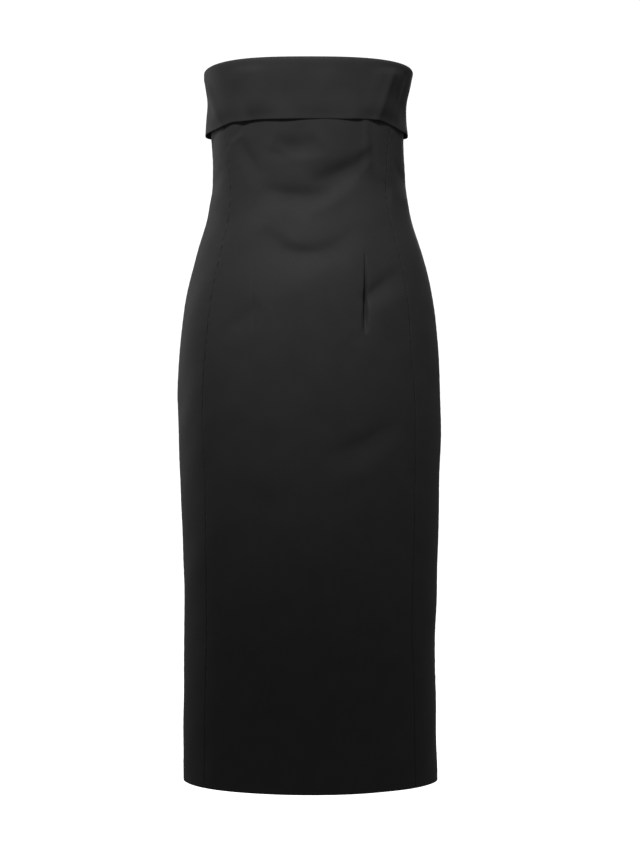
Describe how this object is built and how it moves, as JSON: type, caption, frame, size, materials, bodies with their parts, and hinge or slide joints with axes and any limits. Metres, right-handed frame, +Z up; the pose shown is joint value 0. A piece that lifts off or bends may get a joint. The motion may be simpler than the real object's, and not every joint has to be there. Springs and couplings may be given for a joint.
{
  "type": "strapless dress",
  "caption": "Strapless column midi dress in black crepe with a fold-over cuff at the bust, long curved front seams, waist darts and a centre-back zip.",
  "frame": {"origin": "centre of the bodice at chest height, 985 mm above the hem, where the wearer's chest holds the dress up", "axes": "+Z up to the top edge; front faces -Y; +X to the wearer's left"},
  "size_m": [0.3869, 0.2492, 1.0398],
  "materials": {
    "crepe": "heavy black satin crepe, matte with a soft low sheen",
    "zip_tape": "black woven zip tape, matte",
    "zip_metal": "black enamelled metal, semi-gloss"
  },
  "bodies": {
    "dress": {"front_panel": "crepe", "side_front_left": "crepe", "side_front_right": "crepe", "back_left": "crepe", "back_right": "crepe", "cuff_front": "crepe", "cuff_back_left": "crepe", "cuff_back_right": "crepe", "zip_tape": "zip_tape", "zip_slider": "zip_metal"},
    "pull_tab": {"zip_pull": "zip_metal"}
  },
  "joints": [
    {"name": "pull_tab_swing", "type": "hinge", "parent": "dress", "child": "pull_tab", "pos_m": [0, 0.0999, 0.019], "axis": [1, 0, 0], "range_deg": [0, 150]}
  ]
}
